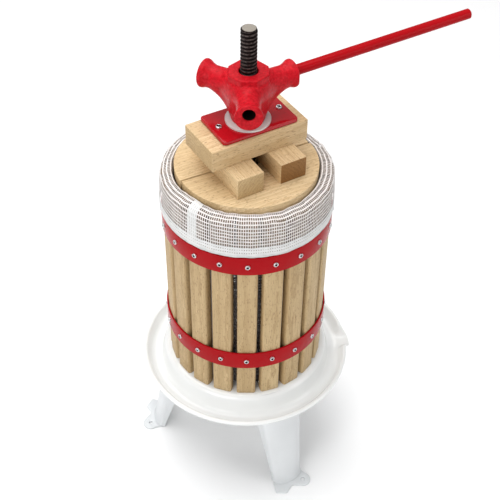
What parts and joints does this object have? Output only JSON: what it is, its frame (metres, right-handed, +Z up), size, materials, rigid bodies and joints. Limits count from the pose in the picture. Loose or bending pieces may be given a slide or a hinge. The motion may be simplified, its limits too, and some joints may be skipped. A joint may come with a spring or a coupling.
{
  "type": "basket wine press",
  "caption": "Slatted wooden basket press with a net filter bag, gutter pan on three legs, fixed central screw and a three-socket nut turned by a bar.",
  "frame": {"origin": "on the floor, at the centre of the circle of the three foot screw holes, which is also on the screw's axis", "axes": "+Z up along the screw; the pan's pouring spout points along +X (turned 5 degrees); the front leg stands towards -Y"},
  "size_m": [0.5678, 0.3936, 0.89],
  "materials": {
    "white_enamel": "gloss white enamel on pressed steel sheet",
    "leg_paint": "semi-gloss white powder coat on pressed steel",
    "zinc_steel": "zinc plated steel",
    "oxide_steel": "black oxide threaded steel, oiled",
    "stave_wood": "planed beech, unvarnished",
    "pressing_wood": "planed beech, unvarnished, with end grain",
    "red_enamel": "gloss red enamel on steel strip and plate",
    "red_casting": "gloss red enamel on cast iron and bar",
    "net": "open woven white plastic-yarn net",
    "white_plastic": "white polyethylene"
  },
  "bodies": {
    "stand": {"pan": "white_enamel", "leg_front": "leg_paint", "leg_left": "leg_paint", "leg_back": "leg_paint", "leg_bolts": "zinc_steel", "leg_nuts": "zinc_steel", "spindle": "oxide_steel", "spindle_washer": "zinc_steel", "spindle_lower_nut": "oxide_steel", "spindle_upper_nut": "oxide_steel", "stave_01": "stave_wood", "stave_02": "stave_wood", "stave_03": "stave_wood", "stave_04": "stave_wood", "stave_05": "stave_wood", "stave_06": "stave_wood", "stave_07": "stave_wood", "stave_08": "stave_wood", "stave_09": "stave_wood", "stave_10": "stave_wood", "stave_11": "stave_wood", "stave_12": "stave_wood", "stave_13": "stave_wood", "stave_14": "stave_wood", "stave_15": "stave_wood", "stave_16": "stave_wood", "stave_17": "stave_wood", "stave_18": "stave_wood", "stave_19": "stave_wood", "stave_20": "stave_wood", "hoop_lower": "red_enamel", "hoop_upper": "red_enamel", "hoop_screws_lower": "zinc_steel", "hoop_screws_upper": "zinc_steel", "filter_bag": "net"},
    "press_stack": {"half_disc_front": "pressing_wood", "half_disc_back": "pressing_wood", "lower_block_left": "pressing_wood", "lower_block_right": "pressing_wood", "top_block": "pressing_wood", "pressure_plate": "red_enamel", "plate_screws": "zinc_steel", "slide_washer": "white_plastic"},
    "nut": {"arm_nut": "red_casting"},
    "bar": {"handle_bar": "red_casting"}
  },
  "joints": [
    {"name": "press_travel", "type": "slide", "parent": "stand", "child": "press_stack", "axis": [0, 0, 1], "range_m": [-0.12, 0]},
    {"name": "nut_turn", "type": "hinge", "parent": "press_stack", "child": "nut", "pos_m": [0, 0, 0.736], "axis": [0, 0, 1], "range_deg": [-7200, 0]},
    {"name": "bar_slide", "type": "slide", "parent": "nut", "child": "bar", "axis": [0.8785, 0.477, 0.0262], "range_m": [0, 0.036]}
  ],
  "couplings": [
    {"joint": "press_travel", "follows": "nut_turn", "m_per_rad": 0.00095493}
  ]
}
